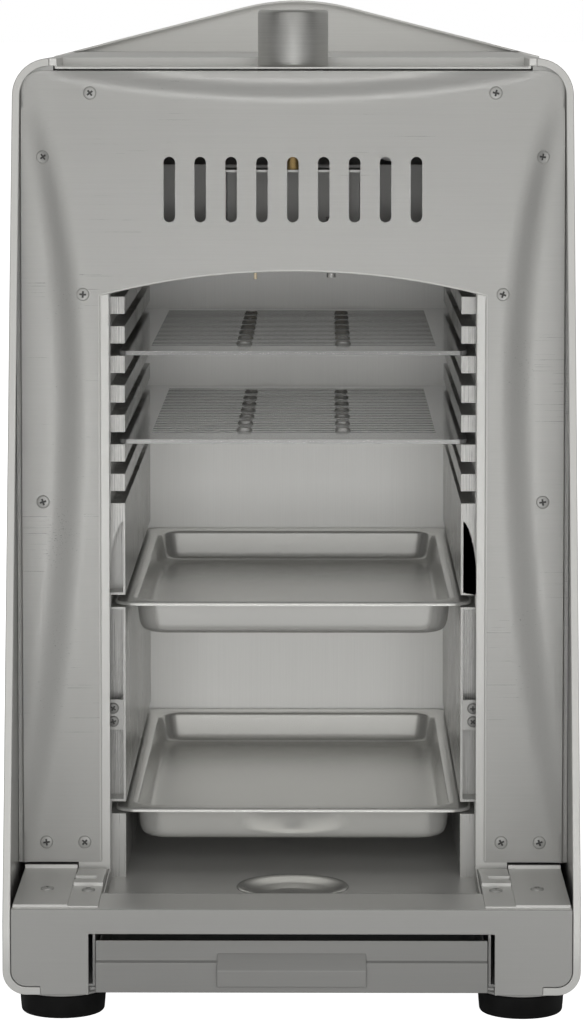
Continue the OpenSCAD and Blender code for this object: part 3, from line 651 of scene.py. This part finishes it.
def make_funnel():
    low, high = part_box("floor_funnel")
    centre = ((low.x + high.x) / 2, (low.y + high.y) / 2)
    radius = (high.x - low.x) / 2
    rim = 0.8 * MM
    top = high.z
    inner = [(radius - 0.3 * MM, top - 0.35 * MM), (radius - 0.9 * MM, top),
             (radius - 2.6 * MM, top - 0.1 * MM)]
    steps, bowl, throat, fall = 14, radius - 4.4 * MM, 6.1 * MM, 4.2 * MM
    for i in range(steps + 1):
        t = i / steps
        inner.append((bowl * (1 - t) + throat * t, top - rim - fall * (1 - (1 - t) ** 2.2)))
    inner.append((6.0 * MM, low.z))
    outer = [(7.0 * MM, low.z), (7.0 * MM, top - 6.2 * MM), (radius - 3.6 * MM, top - 1.35 * MM),
             (radius - 3.4 * MM, top - rim), (radius - 0.05 * MM, top - rim)]
    spun = lathe("funnel", inner + outer, centre, 120, True)
    piece("funnel_spun", spun, PAN, "cabinet", ["floor_funnel"], 45)


# ---------- pans ----------

def rounded_loop(half_x, half_y, radius, steps=8):
    """Points of a rounded rectangle, anticlockwise, with the same count at any size."""
    points = []
    for cx, cy, start in ((1, 1, 0), (-1, 1, 90), (-1, -1, 180), (1, -1, 270)):
        for i in range(steps + 1):
            a = math.radians(start + 90 * i / steps)
            points.append((cx * (half_x - radius) + radius * math.cos(a),
                           cy * (half_y - radius) + radius * math.sin(a)))
    return points


def pressed_pan(node_name, body):
    """A deep-drawn pan: rolled rim, drafted walls with soft corners and a very slightly crowned floor."""
    low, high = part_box(node_name)
    centre = (low + high) / 2
    half_x, half_y = (high.x - low.x) / 2, (high.y - low.y) / 2
    gauge = 0.8 * MM
    depth = high.z - low.z
    # each section is (millimetres in from the rim's edge, millimetres up from its top)
    sections = [(0.0, -1.9)]
    roll = 1.2
    sections += [(roll - roll * math.cos(a), -roll + roll * math.sin(a))
                 for a in (0.0, 0.4, 0.8, 1.2, math.pi / 2)]
    sections += [(4.0, -0.05), (8.2, -0.1)]
    turn = 2.6
    sections += [(9.0 + turn * math.sin(a), -0.1 - turn + turn * math.cos(a))
                 for a in (0.3, 0.6, 0.9, 1.2, 1.45)]
    floor = depth / MM - 0.2
    fillet = 4.5
    inset = 13.2
    sections.append((inset - 0.4, -(floor - fillet - 0.6)))
    sections += [(inset + fillet - fillet * math.cos(a), -(floor - fillet) - fillet * math.sin(a))
                 for a in (0.1, 0.4, 0.7, 1.0, 1.3, math.pi / 2)]
    sections += [(inset + fillet + 4, -floor + 0.05), (inset + fillet + 16, -floor + 0.35),
                 (inset + fillet + 40, -floor + 0.45)]
    bm = bmesh.new()
    loops = []
    for inward, drop in sections:
        radius = max(4.0, 12.0 + 1.6 * min(1.0, inward / 10) - max(0.0, inward - 10) * 0.25) * MM
        ring = rounded_loop(half_x - inward * MM, half_y - inward * MM, radius)
        loops.append([bm.verts.new((centre.x + x, centre.y + y, high.z + drop * MM)) for x, y in ring])
    for outer, inner in zip(loops, loops[1:]):
        for i in range(len(outer)):
            k = (i + 1) % len(outer)
            bm.faces.new((outer[i], outer[k], inner[k], inner[i]))
    bm.faces.new(loops[-1])
    mesh = from_bmesh(node_name + "_skin", bm)
    shell = {"thickness": gauge, "offset": -1.0, "use_even_offset": True}
    mesh = applied(node_name, mesh, ("SOLIDIFY", shell))
    piece(node_name + "_drawn", mesh, PAN, body, [node_name], 50)


# ---------- raised bridges of the grates ----------

def make_bridges(node_name, body):
    """Two rows of small raised bridges between the three fields of slots."""
    low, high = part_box(node_name)
    slot_step, border, between_fields = 9.3 * MM, 38 * MM, 26.3 * MM
    first = low.y + border + slot_step
    count = 7
    profile = [(0, 1.6 * MM), *arc((3.0 * MM, 0.8 * MM), 0.8 * MM, 90, 10, 5), (4.6 * MM, -0.1 * MM),
               (0, -0.1 * MM)]
    dome = lathe("bridge", profile, steps=20)
    dome.transform(Matrix.Diagonal((1.0, 0.62, 1.0, 1.0)))
    domes = [moved(dome, Matrix.Translation((x, first + 4 * slot_step * i, high.z)))
             for x in (-between_fields, between_fields) for i in range(count)]
    name = node_name + "_bridges"
    piece(name, joined(name, domes), BRIGHT, body, (), 60)


# ---------- assembly ----------

def paint(node_name, material):
    """Gives a CAD node that stays visible its material."""
    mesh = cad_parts[node_name].data
    mesh.materials.clear()
    mesh.materials.append(material)


# (CAD node, material, slot, millimetres rounded off its edges)
SOFT = [
    ("left_side_panel", STEEL_SIDE, "brushed_steel", 0.5),
    ("right_side_panel", STEEL_SIDE, "brushed_steel", 0.5),
    ("top_cover", STEEL_TOP, "brushed_steel", 0.4),
    ("rear_panel", STEEL_REAR_PAINTED_LIGHT, "brushed_steel", 0.35),
    ("base_front", STEEL_LOW_PAINTED_SHADE, "brushed_steel", 0.45),
    ("porch_plate", STEEL_TOP, "brushed_steel", 0.35),
    ("left_foot_bracket", STEEL_TOP, "brushed_steel", 0.35),
    ("right_foot_bracket", STEEL_TOP, "brushed_steel", 0.35),
    ("left_front_post", STEEL_SIDE, "dark_steel", 0.35),
    ("right_front_post", STEEL_SIDE, "dark_steel", 0.35),
    ("cavity_floor", INNER_FLAT, "inner_steel", 0.4),
    ("floor_lips", STEEL, "inner_steel", 0.4),
    ("left_rack", RACK, "inner_steel", 0.5),
    ("right_rack", RACK, "inner_steel", 0.5),
    ("back_liner", INNER, "inner_steel", 0.3),
    ("rack_brackets", STEEL, "brushed_steel", 0.3),
    ("foot_cups", STEEL, "brushed_steel", 0.35),
]
PAINTED = {
    DARK: ["fascia_frame", "base_pan", "heat_shield", "plaque_frame", "burner_screen", "valve_bracket",
           "left_drawer_rail", "right_drawer_rail", "burner_box", "mixer_tube"],
    BRIGHT: ["injector_pipe", "gas_pipe", "thermocouple", "spring_collar", "valve_spring", "valve_stem",
             "foot_screws", "foot_nuts"],
    BRASS: ["gas_injector", "gas_valve", "gas_inlet_fitting"],
    CERAMIC: ["ceramic_plaques", "igniter_electrode"],
}

for name, material, slot_name, width in SOFT:
    softened(name, material, "cabinet", width * MM)
for name in ("upper_grate", "lower_grate"):
    paint(name, GRATE)
    make_bridges(name, name + "_body")
for name in ("drawer_front", "drawer_handle"):
    softened(name, STEEL_DRAWER_PAINTED_SHADE, "drip_drawer", 0.4 * MM)
softened("drawer_pan", DARK, "drip_drawer", 0.3 * MM)
for material, names in PAINTED.items():
    for name in names:
        paint(name, material)
make_fascia()
make_all_screws()
make_knob()
make_feet()
make_funnel()
pressed_pan("upper_pan", "upper_pan_body")
pressed_pan("lower_pan", "lower_pan_body")


# ---------- floor, light and camera ----------

def make_floor():
    bm = bmesh.new()
    half = 60.0
    corners = ((-half, -half), (half, -half), (half, half), (-half, half))
    bm.faces.new([bm.verts.new((x, y, -0.0002)) for x, y in corners])
    floor = bpy.data.objects.new("floor", from_bmesh("floor", bm))
    bpy.context.scene.collection.objects.link(floor)
    material, tree, shader = new_material("floor")
    grain = noise_of(tree, stretched(tree, (1, 1, 1)), 3.0)
    tree.links.new(ramp(tree, grain, (0.62, 0.62, 0.62), (0.66, 0.66, 0.655)), shader.inputs["Base Color"])
    shader.inputs["Roughness"].default_value = 0.9
    shader.inputs["Emission Color"].default_value = (1, 1, 1, 1)
    path = tree.nodes.new("ShaderNodeLightPath")
    tree.links.new(path.outputs["Is Camera Ray"], shader.inputs["Emission Strength"])
    floor.data.materials.append(material)


def soft_box(name, place, target, size, power):
    """An area light that faces its target and stays out of reflections, which come from the world alone."""
    light = bpy.data.lights.new(name, "AREA")
    light.shape = "RECTANGLE"
    light.size, light.size_y = size
    light.energy = power
    obj = bpy.data.objects.new(name, light)
    obj.location = place
    obj.rotation_euler = (Vector(target) - Vector(place)).to_track_quat("-Z", "Y").to_euler()
    bpy.context.scene.collection.objects.link(obj)
    obj.visible_glossy = False


def make_world():
    """White where the camera sees it. As light, a grey room: bright in front between two dark flags."""
    world = bpy.data.worlds.new("studio")
    bpy.context.scene.world = world
    world.use_nodes = True
    tree = world.node_tree
    room = tree.nodes["Background"]
    coords = tree.nodes.new("ShaderNodeTexCoord")
    parts = tree.nodes.new("ShaderNodeSeparateXYZ")
    tree.links.new(coords.outputs["Generated"], parts.inputs["Vector"])
    shade = tree.nodes.new("ShaderNodeValToRGB")
    stops = shade.color_ramp.elements
    stops[0].position, stops[1].position = 0.0, 1.0
    for position in (0.07, 0.2, 0.33, 0.48):
        stops.new(position)
    for stop, level in zip(stops, (1.0, 1.0, 0.12, 0.12, 0.55, 0.65)):
        stop.color = (level, level * 0.995, level * 0.97, 1)
    front_to_back = ranged(tree, parts.outputs["Y"], 0.0, 1.0, -1.0, 1.0)
    tree.links.new(front_to_back, shade.inputs["Fac"])
    tree.links.new(shade.outputs["Color"], room.inputs["Color"])
    room.inputs["Strength"].default_value = ROOM
    seen = tree.nodes.new("ShaderNodeBackground")
    seen.inputs["Color"].default_value = (1, 1, 1, 1)
    seen.inputs["Strength"].default_value = 1.0
    path = tree.nodes.new("ShaderNodeLightPath")
    mix = tree.nodes.new("ShaderNodeMixShader")
    tree.links.new(path.outputs["Is Camera Ray"], mix.inputs["Fac"])
    tree.links.new(room.outputs[0], mix.inputs[1])
    tree.links.new(seen.outputs[0], mix.inputs[2])
    tree.links.new(mix.outputs[0], tree.nodes["World Output"].inputs["Surface"])


def make_light():
    make_world()
    soft_box("front", place=(0.1, -3.4, 0.75), target=(0, 0, 0.25), size=(3.0, 2.4), power=45)
    soft_box("low", place=(0, -1.9, 0.24), target=(0, 0, 0.24), size=(0.6, 0.4), power=15)
    soft_box("top", place=(0, -0.3, 2.4), target=(0, 0, 0.2), size=(1.8, 1.8), power=8)
    soft_box("back", place=(0.4, 2.6, 1.6), target=(0, 0, 0.25), size=(1.8, 1.4), power=14)
    bpy.context.scene.view_settings.view_transform = "Standard"


def make_camera():
    """A long lens level with the top of the object, turned a little to the left of straight on."""
    data = bpy.data.cameras.new("camera")
    data.sensor_width = 36
    data.lens = 145.6
    data.shift_y = -0.2
    camera = bpy.data.objects.new("camera", data)
    bpy.context.scene.collection.objects.link(camera)
    camera.location = (0.0149, -2.2714, 0.506)
    down, left = 4.11, 0.41
    camera.rotation_euler = (math.radians(90 - down), 0, math.radians(left))
    bpy.context.scene.camera = camera


make_floor()
make_light()
make_camera()
